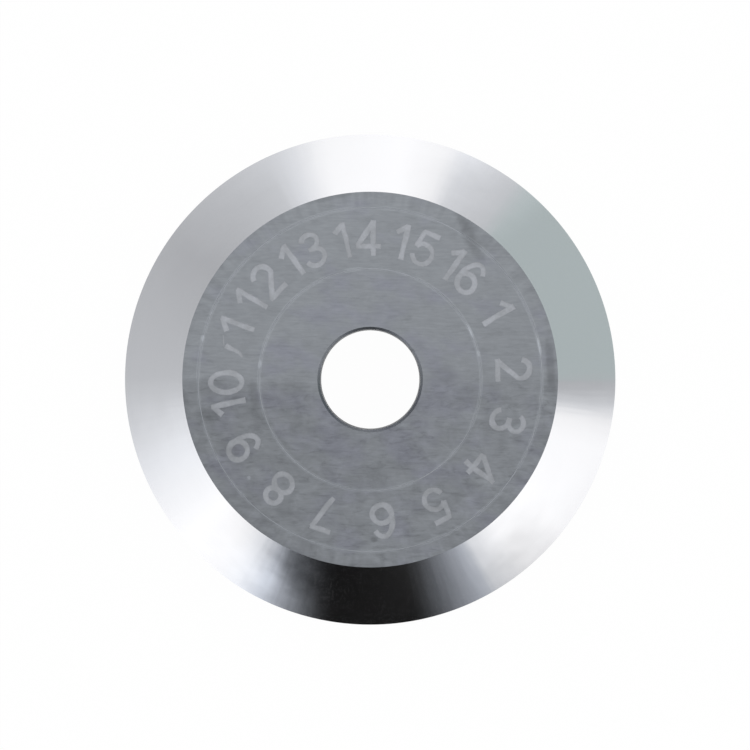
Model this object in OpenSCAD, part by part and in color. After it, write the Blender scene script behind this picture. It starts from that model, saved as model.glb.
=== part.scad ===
// Round cleaver blade for glass fibre: a small ground wheel with a knife edge.
// It lies on its plain face, with +Z along the bore and the marked face up.
// The origin is the centre of the bore on the plain face. Sizes are in millimetres.

/* [Wheel] */
// Diameter at the cutting edge
edge_d = 20; // [16:0.1:32]
// Thickness between the two flat faces
thickness = 4; // [2:0.1:6]
// Included angle of the cutting edge, between the two bevels
edge_angle = 78.5; // [50:0.5:120]
// Width that the lapping stone takes off the corner of each face, along the face
corner_break = 0.02; // [0.01:0.01:0.2]

/* [Bore] */
// Diameter of the spindle bore
bore_d = 4.05; // [2:0.05:8]
// Width of the chamfer at each mouth of the bore
bore_chamfer = 0.1; // [0.05:0.01:0.5]

/* [Scribed rings] */
// Distance from the edge of the marked face to the outer ring
ring_inset = 0.62; // [0.2:0.01:1.5]
// Distance between the two rings, where the position numbers stand
number_band = 2.46; // [1:0.01:4]
// Width of a scribed line
scribe_w = 0.06; // [0.02:0.01:0.15]
// Depth of a scribed line
scribe_depth = 0.015; // [0.01:0.005:0.1]

/* [Hidden] */

bore_r = bore_d / 2;
edge_r = edge_d / 2;
edge_z = thickness / 2;                // the knife edge is halfway up
bevel_slope = edge_angle / 2;          // from the plane of the face
face_r = edge_r - edge_z / tan(bevel_slope);
outer_ring_r = face_r - ring_inset;
inner_ring_r = outer_ring_r - number_band;
cut_over = 0.2;                        // how far a cut runs past the surface that it opens
blade_fn = 180;

// Upper half of the section, from the knife edge inwards to the bore wall
half_outline = [
    [edge_r, 0],
    [face_r + corner_break * cos(bevel_slope), edge_z - corner_break * sin(bevel_slope)],
    [face_r - corner_break, edge_z],
    [bore_r + bore_chamfer, edge_z],
    [bore_r, edge_z - bore_chamfer]
];

// The lower half is the same outline mirrored, walked back out to the knife edge
mirrored_outline = [
    for (i = [len(half_outline) - 1 : -1 : 1]) [half_outline[i][0], -half_outline[i][1]]
];

// Section of one line scribed into the marked face, at radius r
module scribe_cut(r) {
    translate([r - scribe_w / 2, edge_z - scribe_depth])
        square([scribe_w, scribe_depth + cut_over]);
}

module blade_section() {
    difference() {
        polygon(concat(half_outline, mirrored_outline));
        for (r = [outer_ring_r, inner_ring_r]) scribe_cut(r);
    }
}

module blade() {
    color("silver")
        translate([0, 0, edge_z])
            rotate_extrude($fn = blade_fn) blade_section();
}

blade();
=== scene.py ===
"""Looks of a round cleaver blade: a ground carbide wheel with lapped bevels and engraved position numbers.

The wheel lies on its plain face, with +Z along the bore and the marked face up. Blender works in metres.
Sizes with MM behind them are written in millimetres, and materials measure in millimetres as well.
"""

import logging
import math
from dataclasses import dataclass, field
from enum import Enum

import bpy
from mathutils import Matrix, Vector, noise


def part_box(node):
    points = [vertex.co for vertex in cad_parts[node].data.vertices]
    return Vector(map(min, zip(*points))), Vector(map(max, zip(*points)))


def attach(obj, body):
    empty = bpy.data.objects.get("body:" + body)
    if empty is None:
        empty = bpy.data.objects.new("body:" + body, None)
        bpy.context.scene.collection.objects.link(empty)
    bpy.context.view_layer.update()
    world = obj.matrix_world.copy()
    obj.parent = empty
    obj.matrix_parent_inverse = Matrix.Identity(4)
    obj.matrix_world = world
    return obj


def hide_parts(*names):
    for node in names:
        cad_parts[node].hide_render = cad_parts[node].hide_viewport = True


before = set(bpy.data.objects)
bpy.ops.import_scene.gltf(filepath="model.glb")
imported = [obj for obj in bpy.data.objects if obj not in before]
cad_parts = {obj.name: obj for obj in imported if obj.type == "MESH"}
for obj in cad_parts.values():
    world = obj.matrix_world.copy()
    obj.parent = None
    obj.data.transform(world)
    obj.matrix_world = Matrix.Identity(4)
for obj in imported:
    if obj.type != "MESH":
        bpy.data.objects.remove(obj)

LOG = logging.getLogger("cleaver_blade")
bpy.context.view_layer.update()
MM = 0.001
NODE = "blade"
BODY = "root"
MERGE_GAP = 1e-6  # the least distance that Blender's merge takes


class Finish(Enum):
    """The finishes that the wheel carries, in the order of its material slots."""

    GROUND = 0
    LAPPED = 1
    BORE = 2
    FROSTED = 3
    SCRIBED = 4


def linear(red: float, green: float, blue: float) -> tuple[float, float, float, float]:
    """Turns a display colour into the linear one that a shader takes.

    Args:
        red: Red from 0 to 255.
        green: Green from 0 to 255.
        blue: Blue from 0 to 255.

    Returns:
        The linear colour with full alpha.
    """

    def channel(value: float) -> float:
        share = value / 255
        return share / 12.92 if share <= 0.04045 else ((share + 0.055) / 1.055) ** 2.4

    return channel(red), channel(green), channel(blue), 1.0


def deselect() -> None:
    """Leaves edit mode and deselects every object."""
    if bpy.context.object and bpy.context.object.mode != "OBJECT":
        bpy.ops.object.mode_set(mode="OBJECT")
    bpy.ops.object.select_all(action="DESELECT")


def make_active(piece: bpy.types.Object) -> None:
    """Selects one object alone and makes it active."""
    deselect()
    piece.select_set(True)
    bpy.context.view_layer.objects.active = piece


class NodeSheet:
    """A material's node tree, with short ways to add and join nodes."""

    def __init__(self, tree: bpy.types.NodeTree) -> None:
        """Takes the tree that the nodes are added to."""
        self.tree = tree

    def add(self, kind: str, links: dict | None = None, **settings: object) -> bpy.types.Node:
        """Adds a node.

        Args:
            kind: The node's type name without its ShaderNode prefix.
            links: Input name or index to the socket or constant that feeds it.
            settings: Properties of the node itself.

        Returns:
            The new node.
        """
        node = self.tree.nodes.new("ShaderNode" + kind)
        for name, value in settings.items():
            setattr(node, name, value)
        for name, value in (links or {}).items():
            if isinstance(value, bpy.types.NodeSocket):
                self.tree.links.new(value, node.inputs[name])
            else:
                node.inputs[name].default_value = value
        return node

    def math(self, operation: str, *values: object) -> bpy.types.NodeSocket:
        """Adds a Math node over the values and returns its output."""
        links = {i: v for i, v in enumerate(values)}
        return self.add("Math", links, operation=operation).outputs[0]

    def ramp(self, factor: bpy.types.NodeSocket, low: float, high: float) -> bpy.types.NodeSocket:
        """Maps the factor smoothly from 0 at low to 1 at high."""
        links = {"Value": factor, "From Min": low, "From Max": high}
        return self.add("MapRange", links, interpolation_type="SMOOTHSTEP", clamp=True).outputs[0]

    def mix(self, factor: object, first: object, second: object, blend: str = "MIX") -> bpy.types.NodeSocket:
        """Mixes two colours and returns the result."""
        node = self.add("Mix", data_type="RGBA", blend_type=blend)
        for index, value in ((0, factor), (6, first), (7, second)):
            if isinstance(value, bpy.types.NodeSocket):
                self.tree.links.new(value, node.inputs[index])
            else:
                node.inputs[index].default_value = value
        return node.outputs[2]

    def millimetres(self, turn: float = 0.0, stretch: tuple[float, ...] = (1, 1, 1)) -> bpy.types.NodeSocket:
        """Object coordinates in millimetres.

        Args:
            turn: Angle in degrees that the pattern is turned about the bore.
            stretch: How many pattern units a millimetre takes along each axis.

        Returns:
            The vector socket.
        """
        place = self.add("TexCoord").outputs["Object"]
        scaled = self.add("Mapping", {
            "Vector": place, "Scale": (1 / MM,) * 3, "Rotation": (0, 0, math.radians(turn))})
        return self.add("VectorMath", {0: scaled.outputs[0], 1: stretch}, operation="MULTIPLY").outputs[0]

    def axis(self, name: str) -> bpy.types.NodeSocket:
        """One object coordinate in millimetres: X, Y or Z."""
        return self.add("SeparateXYZ", {0: self.millimetres()}).outputs[name]

    def radius(self) -> bpy.types.NodeSocket:
        """Distance from the bore's axis in millimetres."""
        flat = self.millimetres(stretch=(1, 1, 0))
        return self.add("VectorMath", {0: flat}, operation="LENGTH").outputs["Value"]

    def polar(self, around: float, outward: float) -> bpy.types.NodeSocket:
        """Coordinates for a pattern that runs round the bore.

        Args:
            around: Pattern units per radian round the bore.
            outward: Pattern units per millimetre away from it.

        Returns:
            The vector socket.
        """
        flat = self.millimetres(stretch=(1, 1, 0))
        unit = self.add("VectorMath", {0: flat}, operation="NORMALIZE").outputs[0]
        ring = self.add("VectorMath", {0: unit, 1: (around,) * 3}, operation="MULTIPLY").outputs[0]
        away = self.add("CombineXYZ", {2: self.math("MULTIPLY", self.radius(), outward)}).outputs[0]
        return self.add("VectorMath", {0: ring, 1: away}, operation="ADD").outputs[0]

    def shaded(self, colour: object, gain: bpy.types.NodeSocket) -> bpy.types.NodeSocket:
        """Multiplies a colour by one number."""
        grey = self.add("CombineColor", {0: gain, 1: gain, 2: gain}).outputs[0]
        return self.mix(1.0, colour, grey, "MULTIPLY")

    def noise(self, where: bpy.types.NodeSocket, scale: float, detail: float = 2.0,
              **more: float) -> bpy.types.NodeSocket:
        """Adds a Noise texture and returns its value, about 0.5 on average."""
        links = {"Vector": where, "Scale": scale, "Detail": detail}
        links |= {name.capitalize(): value for name, value in more.items()}
        return self.add("TexNoise", links).outputs[0]


@dataclass(frozen=True)
class StainOrGlint:
    """A soft oval mark on the face, in millimetres from the bore's axis.

    A gain under 1 darkens the face, as a stain does, and one over 1 brightens it; the bright ones on the
    scribed rings are painted glints.
    """

    x: float
    y: float
    length: float
    width: float
    turn: float
    gain: float

    @classmethod
    def at(cls, azimuth: float, radius: float, along: float, across: float, gain: float) -> "StainOrGlint":
        """A mark placed by azimuth and radius, which runs round the wheel."""
        angle = math.radians(azimuth)
        return cls(radius * math.cos(angle), radius * math.sin(angle), along, across, azimuth + 90, gain)


STAINS_AND_GLINTS = (
    StainOrGlint(3.99, 5.80, 2.30, 0.55, -64, 0.77),
    StainOrGlint.at(4.0, 7.28, 2.4, 0.40, 0.77),
    StainOrGlint.at(50.0, 7.25, 2.2, 0.60, 0.92),
    StainOrGlint.at(102.0, 7.50, 2.2, 0.26, 0.88),
    StainOrGlint.at(192.5, 6.6, 0.7, 0.9, 0.84),
    StainOrGlint.at(188.0, 4.72, 1.3, 0.45, 0.84),
    StainOrGlint(-3.05, -0.40, 1.1, 0.8, 15, 0.86),
    StainOrGlint(2.9, 0.15, 1.4, 1.0, 10, 0.90),
    StainOrGlint(3.9, -0.9, 1.6, 0.6, 5, 0.90),
    StainOrGlint(0.6, -3.6, 2.2, 0.8, 4, 0.92),
    StainOrGlint(-5.6, -2.9, 1.4, 0.5, 10, 0.90),
    StainOrGlint(3.2, -4.9, 1.7, 0.5, 25, 0.90),
    StainOrGlint.at(271.4, 6.45, 0.34, 0.26, 0.76),
    # Painted glints: the bright marks on the two scribed rings, where the lines catch the light.
    StainOrGlint.at(11.0, 6.95, 0.85, 0.13, 1.34),
    StainOrGlint.at(26.0, 4.49, 0.65, 0.13, 1.34),
    StainOrGlint.at(13.5, 4.49, 0.26, 0.16, 1.22),
    StainOrGlint.at(166.0, 6.95, 0.28, 0.18, 1.32),
    StainOrGlint.at(172.0, 4.49, 0.36, 0.17, 1.26),
    StainOrGlint.at(219.0, 6.28, 0.16, 0.14, 1.35),
)
STAIN_GLINT_RAGGEDNESS = 0.9
STAIN_GLINT_OUTSIDE, STAIN_GLINT_INSIDE = 1.75, 0.85  # where a stain or painted glint ends and where it is full, with the raggedness added
# The lower half of the face is painted darker, as shade, below a wavy line through the bore.
SHADED_HALF_WAVE = 1.6  # millimetres that the line between the halves may wander
SHADED_HALF_NONE, SHADED_HALF_FULL = 1.0, 0.2  # heights on the face, less the wave, between which the painted shade of the lower half sets in
PLAIN_SIDE, MARKED_SIDE = 1.0, 3.0  # heights in the wheel that tell its two sides apart


def painted_shade_half(sheet: NodeSheet) -> bpy.types.NodeSocket:
    """How far a point is on the lower half of the face, below a wavy line through the bore. The finishes
    paint shade there, and the ground face shows more grinding marks there.

    Args:
        sheet: The material's node sheet.

    Returns:
        0 above the line and 1 below it, with a soft change between.
    """
    wave = sheet.noise(sheet.millimetres(), 0.35, 2.0)
    height = sheet.math("MULTIPLY_ADD", wave, SHADED_HALF_WAVE, sheet.axis("Y"))
    return sheet.ramp(height, SHADED_HALF_NONE, SHADED_HALF_FULL)


def marked_side(sheet: NodeSheet) -> bpy.types.NodeSocket:
    """Tells the marked face, where it is 1, from the underside, where it is 0.

    Args:
        sheet: The material's node sheet.

    Returns:
        The share, which changes halfway up the wheel.
    """
    return sheet.ramp(sheet.axis("Z"), PLAIN_SIDE, MARKED_SIDE)


def stained_and_glinted(sheet: NodeSheet, gain: bpy.types.NodeSocket) -> bpy.types.NodeSocket:
    """Multiplies the gain by every stain's and painted glint's own, on the marked face alone.

    Args:
        sheet: The material's node sheet.
        gain: What the colour is multiplied by so far.

    Returns:
        The gain with the stains in it.
    """
    marked = marked_side(sheet)
    ragged = sheet.math("MULTIPLY", sheet.noise(sheet.millimetres(), 3.0, 3.0), STAIN_GLINT_RAGGEDNESS)
    for stain_or_glint in STAINS_AND_GLINTS:
        here = sheet.add("Mapping", {
            "Vector": sheet.millimetres(), "Location": (stain_or_glint.x, stain_or_glint.y, 0),
            "Rotation": (0, 0, math.radians(stain_or_glint.turn)),
            "Scale": (stain_or_glint.length / 2, stain_or_glint.width / 2, 1)}, vector_type="TEXTURE").outputs[0]
        flat = sheet.add("VectorMath", {0: here, 1: (1, 1, 0)}, operation="MULTIPLY").outputs[0]
        away = sheet.add("VectorMath", {0: flat}, operation="LENGTH").outputs["Value"]
        cover = sheet.ramp(sheet.math("ADD", away, ragged), STAIN_GLINT_OUTSIDE, STAIN_GLINT_INSIDE)
        cover = sheet.math("MULTIPLY", cover, marked)
        gain = sheet.math("MULTIPLY", gain, sheet.math("MULTIPLY_ADD", cover, stain_or_glint.gain - 1, 1.0))
    return gain


@dataclass(frozen=True)
class GroundFinish:
    """Surface-ground carbide: a matt grey face with fine streaks of the grinding wheel, and stains. Painted
    shade darkens its lower half, painted light pales it towards the top, and painted glints lie on the
    scribed rings.

    The depths and gains are shares of the colour, and the widths are in millimetres.
    """

    ring_radii: tuple[float, float]
    cool: tuple[int, int, int] = (136, 139, 148)
    neutral: tuple[int, int, int] = (138, 142, 147)
    roughness: float = 0.42
    dash_roughness: float = 0.08
    relief: float = 0.2
    fine_depth: float = 0.14
    hair_depth: float = 0.045
    dash_depth: float = 0.16
    blotch_depth: float = 0.36
    # Painted shade: how much darker the lower half of the face is made.
    half_shade_gain: float = 0.86
    edge_r: float = 7.48
    edge_w: float = 0.14
    edge_depth: float = 0.03
    rim_w: float = 0.55
    rim_full_w: float = 0.35
    rim_depth: float = 0.20
    lip_reach: float = 0.105
    lip_full: float = 0.03
    lip_gain: float = 0.22
    band_soft_w: float = 0.3
    band_shift: float = 0.08
    shaded_half_shift: float = 0.07
    name: str = "carbide_ground"

    def streaks(self, sheet: NodeSheet, shaded_half: bpy.types.NodeSocket) -> tuple[bpy.types.NodeSocket, ...]:
        """The marks of the grinding wheel, which run along X and show more on the lower half, which is
        painted darker.

        Args:
            sheet: The material's node sheet.
            shaded_half: How far a point is on the lower half, which is painted darker.

        Returns:
            What the colour is multiplied by, how much a dark dash covers the point, and the marks' height.
        """
        fine = sheet.noise(sheet.millimetres(1.5, (1.9, 10.0, 1)), 1.0, 4.0, distortion=0.6)
        along = sheet.millimetres(-4.0, (1.2, 4.2, 1))
        dashes = sheet.noise(along, 1.0, 5.0, roughness=0.62, distortion=1.1)
        hair = sheet.noise(sheet.millimetres(2.0, (0.22, 14.0, 1)), 1.0, 2.0)
        across = sheet.millimetres(12.0, (1.0, 1.4, 1))
        blotches = sheet.noise(across, 1.3, 5.0, roughness=0.6, distortion=0.5)
        share = sheet.math("MULTIPLY_ADD", shaded_half, 0.65, 0.35)
        dash = sheet.ramp(dashes, 0.52, 0.27)
        gain = sheet.math("MULTIPLY_ADD", sheet.math("SUBTRACT", fine, 0.5), self.fine_depth * 2, 1.0)
        dark = sheet.math("MULTIPLY", sheet.math("MULTIPLY", dash, share), -self.dash_depth)
        gain = sheet.math("ADD", gain, dark)
        cloud = sheet.math("MULTIPLY", sheet.math("SUBTRACT", blotches, 0.5), share)
        gain = sheet.math("ADD", gain, sheet.math("MULTIPLY", cloud, self.blotch_depth * 2))
        gain = sheet.math("ADD", gain, sheet.math("MULTIPLY", sheet.ramp(hair, 0.55, 0.75), self.hair_depth))
        gain = sheet.math("ADD", gain, sheet.math("MULTIPLY", sheet.ramp(hair, 0.42, 0.26), -self.hair_depth))
        height = sheet.math("MULTIPLY_ADD", dashes, 0.6, fine)
        return gain, dash, height

    def rim(self, sheet: NodeSheet) -> bpy.types.NodeSocket:
        """The gain of the band outside the outer ring, with short marks across it and a darker edge.

        Args:
            sheet: The material's node sheet.

        Returns:
            What the colour is multiplied by.
        """
        radius = sheet.radius()
        edge = sheet.ramp(radius, self.edge_r - self.edge_w, self.edge_r)
        band = sheet.ramp(radius, self.edge_r - self.rim_w, self.edge_r - self.rim_full_w)
        marks = sheet.math("SUBTRACT", sheet.noise(sheet.polar(1.0, 0.0), 24.0, 3.0), 0.5)
        gain = sheet.math("MULTIPLY_ADD", sheet.math("MULTIPLY", band, marks), self.rim_depth * 2, 1.0)
        return sheet.math("MULTIPLY_ADD", edge, -self.edge_depth, gain)

    def ring_lips(self, sheet: NodeSheet, gain: bpy.types.NodeSocket) -> bpy.types.NodeSocket:
        """Adds the pale scuffed lips on both sides of each scribed line, which come and go round the wheel.

        The underside has no lines, so it gets no lips.

        Args:
            sheet: The material's node sheet.
            gain: What the colour is multiplied by so far.

        Returns:
            The gain with the lips in it.
        """
        radius = sheet.radius()
        worn = sheet.ramp(sheet.noise(sheet.millimetres(), 0.8, 3.0), 0.30, 0.54)
        worn = sheet.math("MULTIPLY", worn, marked_side(sheet))
        for ring in self.ring_radii:
            away = sheet.math("ABSOLUTE", sheet.math("SUBTRACT", radius, ring))
            lip = sheet.math("MULTIPLY", sheet.ramp(away, self.lip_reach, self.lip_full), worn)
            gain = sheet.math("MULTIPLY_ADD", lip, self.lip_gain, gain)
        return gain

    def shade(self, sheet: NodeSheet, shaded_half: bpy.types.NodeSocket) -> bpy.types.NodeSocket:
        """Painted light and shade: a slow change of tone over the face.

        It gets paler towards the top, and towards the right of the lower half, as painted light, and the
        lower half is darker as painted shade.

        Args:
            sheet: The material's node sheet.
            shaded_half: How far a point is on the lower half, which is painted darker.

        Returns:
            What the colour is multiplied by.
        """
        # Painted light: the face pales towards the top, and towards the right of the lower half.
        rise = sheet.math("MULTIPLY_ADD", sheet.math("MAXIMUM", sheet.axis("Y"), 0.0), 0.012, 0.99)
        slope = sheet.math("MULTIPLY_ADD", shaded_half, 0.0105, -0.002)
        lift = sheet.math("MULTIPLY_ADD", sheet.axis("X"), slope, rise)
        return sheet.math("MULTIPLY", sheet.math("MULTIPLY_ADD", shaded_half, self.half_shade_gain - 1, 1.0), lift)

    def material(self) -> bpy.types.Material:
        """Builds the material."""
        material, sheet, shader = new_material(self.name)
        shaded_half = painted_shade_half(sheet)
        gain, dash, height = self.streaks(sheet, shaded_half)
        gain = self.ring_lips(sheet, sheet.math("MULTIPLY", gain, self.rim(sheet)))
        # Painted light and shade over the face, then the stains and the painted glints.
        gain = stained_and_glinted(sheet, sheet.math("MULTIPLY", gain, self.shade(sheet, shaded_half)))
        cloud = sheet.noise(sheet.millimetres(8.0, (0.8, 1.2, 1)), 0.8, 4.0)
        inner = self.ring_radii[1]
        outside = sheet.ramp(sheet.radius(), inner - self.band_soft_w, inner + self.band_soft_w)
        cloud = sheet.math("MULTIPLY_ADD", outside, self.band_shift, cloud)
        patches = sheet.ramp(sheet.math("MULTIPLY_ADD", shaded_half, -self.shaded_half_shift, cloud), 0.28, 0.56)
        colour = sheet.mix(patches, linear(*self.cool), linear(*self.neutral))
        sheet.tree.links.new(sheet.shaded(colour, gain), shader.inputs["Base Color"])
        rough = sheet.math("MULTIPLY_ADD", dash, self.dash_roughness, self.roughness)
        sheet.tree.links.new(rough, shader.inputs["Roughness"])
        relief = sheet.add("Bump", {"Strength": self.relief, "Distance": 0.002 * MM, "Height": height})
        sheet.tree.links.new(relief.outputs[0], shader.inputs["Normal"])
        shader.inputs["Metallic"].default_value = 1.0
        return material


@dataclass(frozen=True)
class LappedFinish:
    """Lapped bevel: close to a mirror, with faint lines round the wheel and marks across them.

    The unevenness is the height of its relief in millimetres. The waves and lap marks are multiples of it.
    """

    tone: tuple[int, int, int] = (212, 212, 214)
    line_depth: float = 0.06
    roughness: float = 0.115
    roughness_spread: float = 0.05
    unevenness: float = 0.005
    waves: float = 3.0
    lap_marks: float = 0.50
    name: str = "carbide_lapped"

    def material(self) -> bpy.types.Material:
        """Builds the material."""
        material, sheet, shader = new_material(self.name)
        shader.inputs["Metallic"].default_value = 1.0
        where = sheet.millimetres()
        lines = sheet.noise(sheet.add("CombineXYZ", {0: sheet.radius()}).outputs[0], 14.0, 3.0)
        cloud = sheet.noise(where, 0.5, 2.0)
        low_rough = self.roughness - self.roughness_spread / 2
        rough = sheet.math("MULTIPLY_ADD", cloud, self.roughness_spread, low_rough)
        sheet.tree.links.new(rough, shader.inputs["Roughness"])
        gain = sheet.math("MULTIPLY_ADD", lines, self.line_depth, 1 - self.line_depth / 2)
        colour = sheet.shaded(linear(*self.tone), gain)
        sheet.tree.links.new(colour, shader.inputs["Base Color"])
        uneven = sheet.noise(where, 0.75, 1.5, roughness=0.4)
        waves = sheet.noise(where, 0.32, 0.0)
        marks = sheet.noise(sheet.polar(22.0, 0.3), 1.0, 1.5)
        height = sheet.math("MULTIPLY_ADD", marks, self.lap_marks, uneven)
        height = sheet.math("MULTIPLY_ADD", waves, self.waves, height)
        relief = sheet.add("Bump", {"Strength": 1.0, "Distance": self.unevenness * MM, "Height": height})
        sheet.tree.links.new(relief.outputs[0], shader.inputs["Normal"])
        return material


@dataclass(frozen=True)
class BoreFinish:
    """The bore's wall: dark and matt, as it comes from sintering and honing, and darker still as painted
    shade of the deep, narrow bore.
    """

    # Partly painted shade: darker than the sintered skin alone, for the shade deep in the bore.
    tone: tuple[int, int, int] = (84, 86, 90)
    grain_depth: float = 0.5
    roughness: float = 0.5
    name: str = "carbide_bore"

    def material(self) -> bpy.types.Material:
        """Builds the material."""
        material, sheet, shader = new_material(self.name)
        shader.inputs["Metallic"].default_value = 1.0
        grain = sheet.noise(sheet.millimetres(0, (1, 1, 8)), 3.0, 3.0)
        gain = sheet.math("MULTIPLY_ADD", grain, self.grain_depth, 1 - self.grain_depth / 2)
        colour = sheet.shaded(linear(*self.tone), gain)
        sheet.tree.links.new(colour, shader.inputs["Base Color"])
        shader.inputs["Roughness"].default_value = self.roughness
        return material


@dataclass(frozen=True)
class FrostedFinish:
    """The floor of an engraved line: a pale matt frost, which is worn down to the face's grey in patches.

    The line is palest where it is deepest, so that its edges look soft. The face's height and the drops under
    it are in millimetres.
    """

    face_z: float
    tone: tuple[int, int, int] = (173, 176, 182)
    worn_tone: tuple[int, int, int] = (162, 165, 170)
    edge_gain: float = 0.84
    edge_drop: float = 0.003
    core_drop: float = 0.015
    patch_scale: float = 1.6
    grain_depth: float = 0.24
    # Painted shade: how much darker the line is made on the lower half of the face.
    half_shade_gain: float = 0.88
    metallic: float = 0.9
    roughness: float = 0.6
    name: str = "carbide_frosted"

    def material(self) -> bpy.types.Material:
        """Builds the material."""
        material, sheet, shader = new_material(self.name)
        shader.inputs["Metallic"].default_value = self.metallic
        worn = sheet.ramp(sheet.noise(sheet.millimetres(), self.patch_scale, 3.0), 0.36, 0.64)
        colour = sheet.mix(worn, linear(*self.worn_tone), linear(*self.tone))
        grain = sheet.noise(sheet.millimetres(), 9.0, 3.0)
        grain = sheet.math("MULTIPLY_ADD", grain, self.grain_depth, 1 - self.grain_depth / 2)
        # Painted shade on the lower half of the face.
        shade = sheet.math("MULTIPLY_ADD", painted_shade_half(sheet), self.half_shade_gain - 1, 1.0)
        core = sheet.ramp(sheet.axis("Z"), self.face_z - self.edge_drop, self.face_z - self.core_drop)
        soft = sheet.math("MULTIPLY_ADD", core, 1 - self.edge_gain, self.edge_gain)
        # The stains, and the painted glints on the scribed rings.
        gain = stained_and_glinted(sheet, sheet.math("MULTIPLY", grain, sheet.math("MULTIPLY", shade, soft)))
        sheet.tree.links.new(sheet.shaded(colour, gain), shader.inputs["Base Color"])
        shader.inputs["Roughness"].default_value = self.roughness
        return material


def new_material(name: str) -> tuple[bpy.types.Material, NodeSheet, bpy.types.Node]:
    """Makes an empty node material.

    Args:
        name: The material's name.

    Returns:
        The material, its node sheet and its Principled shader.
    """
    material = bpy.data.materials.new(name)
    material.use_nodes = True
    shader = material.node_tree.nodes["Principled BSDF"]
    return material, NodeSheet(material.node_tree), shader


LINE_STEP = 0.14  # how far apart a straight stroke's points lie, on the digit's grid
ARC_STEP = 12  # degrees between a curved stroke's points
SWAY_SCALE, SWELL_SCALE, SWELL_SEED = 2.3, 4.1, 50


@dataclass(frozen=True)
class Stroke:
    """One stroke of a digit on a grid where the digit is one unit high and centred on x = 0."""

    points: tuple[tuple[float, float], ...]
    first_width: float = 1.0
    last_width: float = 1.0

    @classmethod
    def line(cls, start: tuple[float, float], end: tuple[float, float], first_width: float = 1.0,
             last_width: float = 1.0) -> "Stroke":
        """A straight stroke between two points, which may thin out from its first width to its last."""
        steps = max(2, round(math.dist(start, end) / LINE_STEP))
        shares = [i / steps for i in range(steps + 1)]
        points = tuple(
            (start[0] + (end[0] - start[0]) * s, start[1] + (end[1] - start[1]) * s) for s in shares)
        return cls(points, first_width, last_width)

    @classmethod
    def arc(cls, centre: tuple[float, float], radii: tuple[float, float], first: float,
            last: float) -> "Stroke":
        """A stroke along an ellipse.

        Args:
            centre: Centre of the ellipse.
            radii: Its radius along x and along y.
            first: Angle in degrees where the stroke starts.
            last: Angle in degrees where it ends.

        Returns:
            The stroke, with a point every twelve degrees or closer.
        """
        steps = max(4, math.ceil(abs(last - first) / ARC_STEP))
        angles = [math.radians(first + (last - first) * i / steps) for i in range(steps + 1)]
        return cls(tuple(
            (centre[0] + radii[0] * math.cos(a), centre[1] + radii[1] * math.sin(a)) for a in angles))

    @property
    def closed(self) -> bool:
        """Whether the stroke ends where it starts."""
        return len(self.points) > 2 and math.dist(self.points[0], self.points[-1]) < 1e-6

    def turned(self) -> "Stroke":
        """The same stroke with the digit turned upside down."""
        return Stroke(tuple((-x, 1 - y) for x, y in self.points))

    def by_hand(self, seed: float, sway: float, swell: float) -> list[tuple[float, float, float]]:
        """The stroke as a hand-guided cutter leaves it.

        Blender starts its vector noise from the clock, so the sway is another one on each run. The width is
        the same on each run.

        Args:
            seed: A number of the digit's own, so that no two are alike.
            sway: How far a point may wander, on the digit's grid.
            swell: How much the width may change, as a share.

        Returns:
            x, y and the share of the full width at each point, without the closing one.
        """
        points = self.points[:-1] if self.closed else self.points
        result = []
        for index, (x, y) in enumerate(points):
            drift = noise.noise_vector(Vector((x * SWAY_SCALE, y * SWAY_SCALE, seed)))
            share = self.first_width + (self.last_width - self.first_width) * index / (len(points) - 1)
            bump = noise.noise(Vector((x * SWELL_SCALE, y * SWELL_SCALE, seed + SWELL_SEED)))
            width = share * (1 + swell * bump)
            result.append((x + sway * drift.x, y + sway * drift.y, width))
        return result


SIX = (
    Stroke.arc((0.0, 0.50), (0.27, 0.4425), 38, 270),
    Stroke.arc((0.0, 0.315), (0.27, 0.2575), 0, 360),
)
DIGITS: dict[str, tuple[Stroke, ...]] = {
    "0": (Stroke.arc((0.0, 0.5), (0.275, 0.4325), 0, 360),),
    "1": (Stroke.line((0.11, 0.0), (0.11, 1.0)), Stroke.line((0.12, 0.955), (-0.17, 0.715))),
    "2": (
        Stroke.arc((-0.01, 0.69), (0.265, 0.2525), 168, -32),
        Stroke.line((0.22, 0.575), (-0.285, 0.04)),
        Stroke.line((-0.325, 0.0575), (0.31, 0.0575)),
    ),
    "3": (
        Stroke.arc((-0.01, 0.735), (0.225, 0.2075), 165, -88),
        Stroke.arc((-0.01, 0.295), (0.27, 0.2375), 88, -168),
        Stroke.line((-0.11, 0.53), (0.02, 0.53)),
    ),
    "4": (
        Stroke.line((0.12, 0.0), (0.12, 1.0)),
        Stroke.line((-0.345, 0.27), (0.345, 0.27)),
        Stroke.line((0.13, 0.965), (-0.315, 0.28)),
    ),
    "5": (
        Stroke.line((-0.20, 0.9425), (0.29, 0.9425)),
        Stroke.line((-0.155, 0.955), (-0.225, 0.47)),
        Stroke.arc((0.0, 0.335), (0.275, 0.2775), 148, -165),
    ),
    "6": SIX,
    "7": (Stroke.line((-0.29, 0.9425), (0.30, 0.9425)), Stroke.line((0.265, 0.955), (-0.09, 0.0))),
    "8": (
        Stroke.arc((0.0, 0.735), (0.215, 0.2075), 0, 360),
        Stroke.arc((0.0, 0.295), (0.27, 0.2375), 0, 360),
    ),
    "9": tuple(stroke.turned() for stroke in SIX),
    "worn": (
        Stroke.line((0.09, 0.63), (-0.02, 0.22), 0.95, 0.7),
        Stroke.line((-0.02, 0.22), (-0.13, 0.10), 0.7, 0.35),
        Stroke.line((0.06, 0.66), (0.36, 0.76), 0.2, 0.16),
    ),
}


@dataclass(frozen=True)
class Mark:
    """One digit on the marked face."""

    digit: str
    azimuth: float
    lean: float = 0.0


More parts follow.
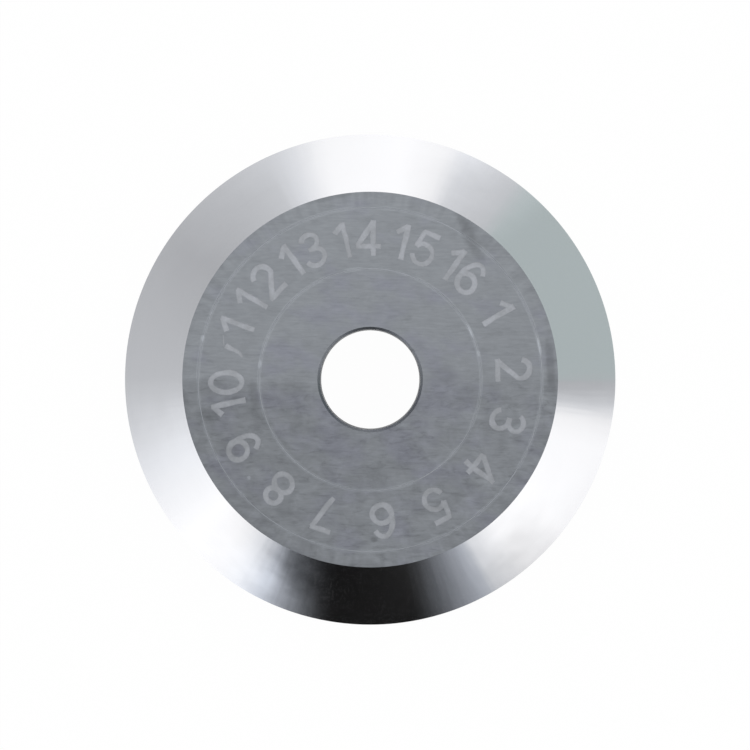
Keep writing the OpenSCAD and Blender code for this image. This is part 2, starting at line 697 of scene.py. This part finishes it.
@dataclass
class NumberRing:
    """The position numbers 1 to 16, which run clockwise between the two rings with their tops outwards.

    They were cut by hand along a template, so each stroke sways a little and the circle that they stand on is
    slightly oval. The first digit of 11 is worn to a short thin line.
    """

    height: float = 1.45 * MM
    stroke_width: float = 0.245 * MM
    depth: float = 0.02 * MM
    radius: float = 5.75 * MM
    oval: float = 0.05 * MM
    sway: float = 0.018
    swell: float = 0.22
    marks: tuple[Mark, ...] = (
        Mark("1", 28.2, 2), Mark("2", 4.0), Mark("3", 343.1), Mark("4", 321.5), Mark("5", 298.1),
        Mark("6", 275.0), Mark("7", 251.5), Mark("8", 230.1), Mark("9", 208.1),
        Mark("1", 191.2), Mark("0", 181.1), Mark("worn", 168.0), Mark("1", 158.7, 2),
        Mark("1", 147.1, 2), Mark("2", 136.0), Mark("1", 124.1, 2), Mark("3", 113.8),
        Mark("1", 101.3, 2), Mark("4", 90.6), Mark("1", 77.5), Mark("5", 67.5),
        Mark("1", 55.0), Mark("6", 45.4),
    )

    def digit_cutter(self, mark: Mark) -> bpy.types.Object:
        """Models one digit as flattened round strokes about the origin.

        Args:
            mark: The digit and its place, which also tells its sway and swell from the other digits'.

        Returns:
            The mesh object, which lies in the plane z = 0.
        """
        curve = bpy.data.curves.new("digit_" + mark.digit, "CURVE")
        curve.dimensions = "3D"
        curve.bevel_depth = self.stroke_width / 2
        curve.bevel_resolution = 2
        curve.use_fill_caps = True
        for stroke in DIGITS[mark.digit]:
            points = stroke.by_hand(mark.azimuth, self.sway, self.swell)
            spline = curve.splines.new("POLY")
            spline.points.add(len(points) - 1)
            spline.use_cyclic_u = stroke.closed
            for spot, (x, y, width) in zip(spline.points, points, strict=True):
                spot.co = (x * self.height, (y - 0.5) * self.height, 0, 1)
                spot.radius = width
        piece = bpy.data.objects.new("digit_" + mark.digit, curve)
        bpy.context.collection.objects.link(piece)
        make_active(piece)
        bpy.ops.object.convert(target="MESH")
        piece = bpy.context.object
        bpy.ops.object.mode_set(mode="EDIT")
        bpy.ops.mesh.select_all(action="SELECT")
        bpy.ops.transform.resize(value=(1, 1, self.depth / (self.stroke_width / 2)))
        bpy.ops.mesh.remove_doubles(threshold=MERGE_GAP)
        bpy.ops.mesh.normals_make_consistent(inside=False)
        bpy.ops.object.mode_set(mode="OBJECT")
        return piece

    def cutter(self, top: float, material: bpy.types.Material) -> bpy.types.Object:
        """Places every digit on the face and joins them.

        Args:
            top: Height of the marked face.
            material: What the cut surfaces get.

        Returns:
            One mesh object that engraves all the numbers.
        """
        placed = []
        for mark in self.marks:
            digit = self.digit_cutter(mark)
            outward = math.radians(mark.azimuth)
            turn = Matrix.Rotation(outward - math.pi / 2 + math.radians(mark.lean), 4, "Z")
            reach = self.radius + self.oval * math.cos(2 * outward)
            centre = Vector((math.cos(outward), math.sin(outward), 0)) * reach
            digit.data.transform(Matrix.Translation(centre + Vector((0, 0, top))) @ turn)
            placed.append(digit)
        make_active(placed[0])
        for digit in placed:
            digit.select_set(True)
        bpy.ops.object.join()
        joined = bpy.context.object
        joined.name = "number_cutter"
        joined.data.materials.clear()
        joined.data.materials.append(material)
        return joined


@dataclass
class BladeWheel:
    """The wheel itself, turned up ring by ring from the knife edge and back to it."""

    edge_r: float
    thickness: float
    bevel_slope: float = math.radians(78.5 / 2)
    corner_break: float = 0.02 * MM
    bore_r: float = 4.05 * MM / 2
    bore_chamfer: float = 0.1 * MM
    ring_inset: float = 0.62 * MM
    number_band: float = 2.46 * MM
    scribe_w: float = 0.06 * MM
    scribe_depth: float = 0.015 * MM
    scribe_floor: float = 0.75
    segments: int = 240
    cutter_lift: float = 0.002 * MM
    heal_gap: float = 0.0001 * MM
    heal_scale: float = 1024.0
    smooth_angle: float = math.radians(15)
    numbers: NumberRing = field(default_factory=NumberRing)

    def __post_init__(self) -> None:
        """Works out the radii that follow from the driving sizes."""
        self.face_r = self.edge_r - self.thickness / 2 / math.tan(self.bevel_slope)
        self.outer_ring_r = self.face_r - self.ring_inset
        self.inner_ring_r = self.outer_ring_r - self.number_band

    def scribed(self, radius: float) -> list[tuple[float, float, Finish]]:
        """Section of one scribed line, from its outer lip to its inner lip.

        Args:
            radius: The line's middle.

        Returns:
            Radius, height and the finish of the surface that leads there.
        """
        half, top = self.scribe_w / 2, self.thickness
        return [
            (radius + half, top, Finish.GROUND),
            (radius + half * self.scribe_floor, top - self.scribe_depth, Finish.SCRIBED),
            (radius - half * self.scribe_floor, top - self.scribe_depth, Finish.SCRIBED),
            (radius - half, top, Finish.SCRIBED),
        ]

    def section(self) -> list[tuple[float, float, Finish]]:
        """The whole section: from the knife edge over the marked face, down the bore and back below."""
        mid, top = self.thickness / 2, self.thickness
        run = self.corner_break * math.cos(self.bevel_slope)
        drop = self.corner_break * math.sin(self.bevel_slope)
        break_in, mouth = self.face_r - self.corner_break, self.bore_r + self.bore_chamfer
        return [
            (self.edge_r, mid, Finish.LAPPED),
            (self.face_r + run, top - drop, Finish.LAPPED),
            (break_in, top, Finish.GROUND),
            *self.scribed(self.outer_ring_r),
            *self.scribed(self.inner_ring_r),
            (mouth, top, Finish.GROUND),
            (self.bore_r, top - self.bore_chamfer, Finish.GROUND),
            (self.bore_r, self.bore_chamfer, Finish.BORE),
            (mouth, 0.0, Finish.GROUND),
            (break_in, 0.0, Finish.GROUND),
            (self.face_r + run, drop, Finish.GROUND),
        ]

    def turn(self) -> bpy.types.Object:
        """Turns the plain wheel up from a circle at the knife edge.

        Returns:
            A closed mesh whose faces carry the slot of their finish.
        """
        section = self.section()
        deselect()
        radius, height, _ = section[0]
        bpy.ops.mesh.primitive_circle_add(vertices=self.segments, radius=radius, location=(0, 0, height))
        wheel = bpy.context.object
        wheel.name = "cleaver_blade"
        bpy.ops.object.transform_apply(location=True)
        for _ in Finish:
            wheel.data.materials.append(None)
        bpy.ops.object.mode_set(mode="EDIT")
        bpy.ops.mesh.select_all(action="SELECT")
        for next_radius, next_height, finish in [*section[1:], section[0]]:
            wheel.active_material_index = finish.value
            share = next_radius / radius
            bpy.ops.mesh.extrude_region_move(TRANSFORM_OT_translate={"value": (0, 0, next_height - height)})
            bpy.ops.transform.resize(value=(share, share, 1))
            radius, height = next_radius, next_height
        bpy.ops.mesh.select_all(action="SELECT")
        bpy.ops.mesh.remove_doubles(threshold=MERGE_GAP)
        bpy.ops.mesh.normals_make_consistent(inside=False)
        bpy.ops.object.mode_set(mode="OBJECT")
        self.sort_finishes(wheel, section)
        return wheel

    def sort_finishes(self, wheel: bpy.types.Object, section: list[tuple[float, float, Finish]]) -> None:
        """Gives each face the slot of the section step that it lies on.

        Args:
            wheel: The turned wheel.
            section: The section that it was turned from.
        """
        steps = []
        for (r0, z0, _), (r1, z1, finish) in zip(section, [*section[1:], section[0]], strict=True):
            steps.append(((r0 + r1) / 2, (z0 + z1) / 2, finish))
        for face in wheel.data.polygons:
            spot = face.center
            radius = math.hypot(spot.x, spot.y)
            nearest = min(steps, key=lambda s: (s[0] - radius) ** 2 + (s[1] - spot.z) ** 2)
            face.material_index = nearest[2].value

    def engrave(self, wheel: bpy.types.Object, frost: bpy.types.Material) -> None:
        """Cuts the position numbers into the marked face.

        Args:
            wheel: The turned wheel.
            frost: The finish of the cut surfaces.
        """
        cutter = self.numbers.cutter(self.thickness + self.cutter_lift, frost)
        make_active(wheel)
        cut = wheel.modifiers.new("numbers", "BOOLEAN")
        cut.operation = "DIFFERENCE"
        cut.object = cutter
        cut.solver = "EXACT"
        cut.use_self = True
        cut.material_mode = "TRANSFER"
        bpy.ops.object.modifier_apply(modifier=cut.name)
        bpy.data.objects.remove(cutter)
        self.heal(wheel)

    def heal(self, wheel: bpy.types.Object) -> None:
        """Merges corners closer than a tenth of a micron, which the cut leaves, and makes triangles.

        The merge takes no distance under a micron, so the mesh is enlarged for it. The scale is a power of
        two, which rounds nothing.

        Args:
            wheel: The engraved wheel.
        """
        wheel.data.transform(Matrix.Scale(self.heal_scale, 4))
        bpy.ops.object.mode_set(mode="EDIT")
        bpy.ops.mesh.select_all(action="SELECT")
        bpy.ops.mesh.remove_doubles(threshold=self.heal_gap * self.heal_scale)
        bpy.ops.mesh.select_all(action="SELECT")
        bpy.ops.mesh.dissolve_degenerate(threshold=self.heal_gap * self.heal_scale)
        bpy.ops.mesh.select_all(action="SELECT")
        bpy.ops.mesh.quads_convert_to_tris(quad_method="BEAUTY", ngon_method="BEAUTY")
        bpy.ops.object.mode_set(mode="OBJECT")
        wheel.data.transform(Matrix.Scale(1 / self.heal_scale, 4))

    def build(self) -> bpy.types.Object:
        """Makes the finished wheel, which stands for the CAD node.

        Returns:
            The piece, riding on the body.
        """
        face_z = self.thickness / MM
        # The scribed rings get a milder painted shade on the lower half.
        scribed = FrostedFinish(
            face_z, tone=(163, 167, 173), worn_tone=(155, 159, 165), edge_gain=0.95, patch_scale=0.5,
            half_shade_gain=0.90, roughness=0.55, name="carbide_scribed")
        finishes = {
            Finish.GROUND: GroundFinish((self.outer_ring_r / MM, self.inner_ring_r / MM)).material(),
            Finish.LAPPED: LappedFinish().material(),
            Finish.BORE: BoreFinish().material(),
            Finish.FROSTED: FrostedFinish(face_z).material(),
            Finish.SCRIBED: scribed.material(),
        }
        wheel = self.turn()
        for finish, material in finishes.items():
            wheel.data.materials[finish.value] = material
        self.engrave(wheel, finishes[Finish.FROSTED])
        make_active(wheel)
        bpy.ops.object.shade_smooth_by_angle(angle=self.smooth_angle)
        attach(wheel, BODY)
        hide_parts(NODE)
        return wheel


class Tint(Enum):
    """Colours of the light tent's cloth, as linear factors."""

    PLAIN = (1.0, 1.0, 1.0)
    AQUA = (0.89, 1.0, 1.0)
    LAVENDER = (0.98, 1.0, 1.03)
    BLUE = (0.94, 1.0, 1.10)


@dataclass(frozen=True)
class Panel:
    """How bright the light tent's wall is at one azimuth, counter-clockwise from +X, where 1 is white.

    The head is what the inner edge of the bevel mirrors, and the foot what its knife edge mirrors.
    """

    azimuth: float
    head: float
    foot: float
    tint: Tint = Tint.PLAIN


@dataclass
class Studio:
    """A pale floor inside a round light tent with soft bright panels and one dark gap."""

    floor_size: float = 1.6
    floor_gap: float = 0.005 * MM
    floor_tone: int = 243
    floor_roughness: float = 0.9
    floor_glow: float = 0.98
    tent_r: float = 0.12
    tent_height: float = 0.07
    tent_sides: int = 96
    sky: float = 1.0
    foot_height: float = 0.017
    head_height: float = 0.0205
    evenness: float = 2.2
    panels: tuple[Panel, ...] = (
        Panel(0, 0.66, 0.67, Tint.AQUA), Panel(44, 0.66, 0.67, Tint.AQUA),
        Panel(49, 0.68, 0.80, Tint.AQUA), Panel(54, 0.77, 0.90, Tint.LAVENDER),
        Panel(60, 0.80, 1.15, Tint.LAVENDER), Panel(67, 0.87, 1.44, Tint.LAVENDER), Panel(72, 1.30, 1.46),
        Panel(82, 1.5, 1.52), Panel(101, 1.46, 1.40), Panel(110, 1.12, 1.04, Tint.LAVENDER),
        Panel(116, 0.82, 0.96, Tint.LAVENDER), Panel(128, 0.70, 0.80, Tint.LAVENDER),
        Panel(145, 0.59, 0.67, Tint.LAVENDER), Panel(180, 0.76, 0.74, Tint.LAVENDER),
        Panel(190, 1.06, 0.87, Tint.LAVENDER), Panel(202, 1.34, 1.15, Tint.LAVENDER),
        Panel(220, 1.55, 1.55), Panel(230, 1.25, 1.65), Panel(236, 1.02, 1.65, Tint.LAVENDER),
        Panel(243, 0.33, 1.35, Tint.BLUE), Panel(248.5, 0.0, 0.58, Tint.BLUE), Panel(260, 0.008, 0.012),
        Panel(281, 0.025, 0.008), Panel(290, 0.23, 0.21, Tint.BLUE), Panel(299, 0.66, 0.62, Tint.BLUE),
        Panel(300.5, 1.1, 0.66, Tint.LAVENDER), Panel(310, 1.65, 0.76), Panel(322, 1.6, 1.3),
        Panel(344, 1.46, 1.46), Panel(350, 1.36, 1.25), Panel(353, 0.95, 0.92, Tint.LAVENDER),
        Panel(358, 0.61, 0.68, Tint.LAVENDER),
    )

    def build_floor(self) -> None:
        """A white floor that shows white to the camera and still takes the wheel's shadow.

        It is clear from below, so that the underside of the wheel can be looked at.
        """
        bpy.ops.mesh.primitive_plane_add(size=self.floor_size, location=(0, 0, -self.floor_gap))
        floor = bpy.context.object
        bpy.ops.object.transform_apply(location=True)
        floor.name = "floor"
        material, sheet, shader = new_material("floor_white")
        shader.inputs["Base Color"].default_value = linear(*(self.floor_tone,) * 3)
        shader.inputs["Roughness"].default_value = self.floor_roughness
        shader.inputs["Specular IOR Level"].default_value = 0.0
        path = sheet.add("LightPath").outputs
        seen = sheet.math("MAXIMUM", sheet.math("MAXIMUM", path["Is Camera Ray"], path["Is Glossy Ray"]),
                          path["Is Transmission Ray"])
        glow = sheet.add("Emission", {"Color": (1, 1, 1, 1), "Strength": 1.0})
        share = sheet.math("MULTIPLY", seen, self.floor_glow)
        white = sheet.add("MixShader", {0: share, 1: shader.outputs[0], 2: glow.outputs[0]})
        below = sheet.add("NewGeometry").outputs["Backfacing"]
        clear = sheet.add("BsdfTransparent")
        blend = sheet.add("MixShader", {0: below, 1: white.outputs[0], 2: clear.outputs[0]})
        output = material.node_tree.nodes["Material Output"]
        sheet.tree.links.new(blend.outputs[0], output.inputs["Surface"])
        floor.data.materials.append(material)

    @property
    def peak(self) -> float:
        """The brightest panel's brightness."""
        return max(max(panel.head, panel.foot) for panel in self.panels)

    def ring_of_light(self, sheet: NodeSheet, around: bpy.types.NodeSocket,
                      at_head: bool) -> bpy.types.NodeSocket:
        """The panels' colours round the tent at one height, as shares of the brightest.

        The shares are blended under a root and raised again, so that they change evenly to the eye.

        Args:
            sheet: The tent material's node sheet.
            around: How far round the tent a point is, from 0 to 1.
            at_head: Whether the panels' heads are meant, rather than their feet.

        Returns:
            The colour socket.
        """
        ramp = sheet.add("ValToRGB", {"Fac": around})
        stops = ramp.color_ramp.elements
        stops.remove(stops[1])
        stops[0].position = 0.0
        for panel in self.panels:
            stop = stops[0] if panel.azimuth == 0 else stops.new(panel.azimuth / 360)
            level = (panel.head if at_head else panel.foot) / self.peak
            stop.color = (*((level * share) ** (1 / self.evenness) for share in panel.tint.value), 1)
        return sheet.add("Gamma", {"Color": ramp.outputs[0], "Gamma": self.evenness}).outputs[0]

    def build_tent(self) -> None:
        """The tent's wall, which only lights and reflects."""
        bpy.ops.mesh.primitive_cylinder_add(
            vertices=self.tent_sides, radius=self.tent_r, depth=self.tent_height, end_fill_type="NOTHING",
            location=(0, 0, self.tent_height / 2))
        tent = bpy.context.object
        bpy.ops.object.transform_apply(location=True)
        tent.name = "light_tent"
        material, sheet, shader = new_material("tent_light")
        place = sheet.add("TexCoord").outputs["Object"]
        turned = sheet.add("Mapping", {"Vector": place, "Rotation": (0, 0, math.pi)}).outputs[0]
        around = sheet.add("TexGradient", {"Vector": turned}, gradient_type="RADIAL").outputs[1]
        foot, head = (self.ring_of_light(sheet, around, at_head) for at_head in (False, True))
        height = sheet.add("SeparateXYZ", {0: place}).outputs["Z"]
        rise = sheet.math("DIVIDE", sheet.math("SUBTRACT", height, self.foot_height),
                          self.head_height - self.foot_height)
        glow = sheet.add("Emission", {"Color": sheet.mix(rise, foot, head), "Strength": self.peak})
        output = material.node_tree.nodes["Material Output"]
        sheet.tree.links.new(glow.outputs[0], output.inputs["Surface"])
        tent.data.materials.append(material)
        tent.visible_camera = False

    def build_world(self) -> None:
        """An even white sky."""
        world = bpy.data.worlds.new("studio")
        world.use_nodes = True
        background = world.node_tree.nodes["Background"]
        background.inputs["Color"].default_value = (1, 1, 1, 1)
        background.inputs["Strength"].default_value = self.sky
        bpy.context.scene.world = world

    def build(self) -> None:
        """Sets up the floor, the tent and the sky."""
        deselect()
        self.build_floor()
        self.build_tent()
        self.build_world()
        bpy.context.scene.view_settings.view_transform = "Standard"


@dataclass
class OverheadCamera:
    """The camera, straight above the wheel, framed as the photograph is."""

    frame_px: float = 750.0
    edge_px: float = 245.2
    wheel_x_px: float = 370.2
    wheel_y_px: float = 379.5
    height: float = 0.164
    sensor: float = 36.0
    near: float = 0.005
    far: float = 10.0

    def build(self, edge_r: float, edge_z: float) -> None:
        """Creates the camera.

        Args:
            edge_r: Radius of the knife edge.
            edge_z: Height of the knife edge.
        """
        px_per_m = self.edge_px / edge_r
        span = self.frame_px / px_per_m
        data = bpy.data.cameras.new("overhead")
        data.sensor_width = self.sensor
        data.lens = self.sensor * (self.height - edge_z) / span
        data.clip_start = self.near
        data.clip_end = self.far
        camera = bpy.data.objects.new("overhead", data)
        middle = self.frame_px / 2
        aside = (middle - self.wheel_x_px) / px_per_m
        ahead = (self.wheel_y_px - middle) / px_per_m
        camera.location = (aside, ahead, self.height)
        bpy.context.collection.objects.link(camera)
        bpy.context.scene.camera = camera


def main() -> None:
    """Builds the camera, the studio and the wheel in order."""
    logging.basicConfig(level=logging.INFO, format="%(name)s: %(message)s")
    low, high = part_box(NODE)
    wheel = BladeWheel(edge_r=high.x, thickness=high.z - low.z)
    OverheadCamera().build(wheel.edge_r, wheel.thickness / 2)
    LOG.info("camera ready")
    piece = wheel.build()
    LOG.info("%s: %d faces", piece.name, len(piece.data.polygons))
    Studio().build()
    LOG.info("studio ready")


if __name__ == "__main__":
    main()
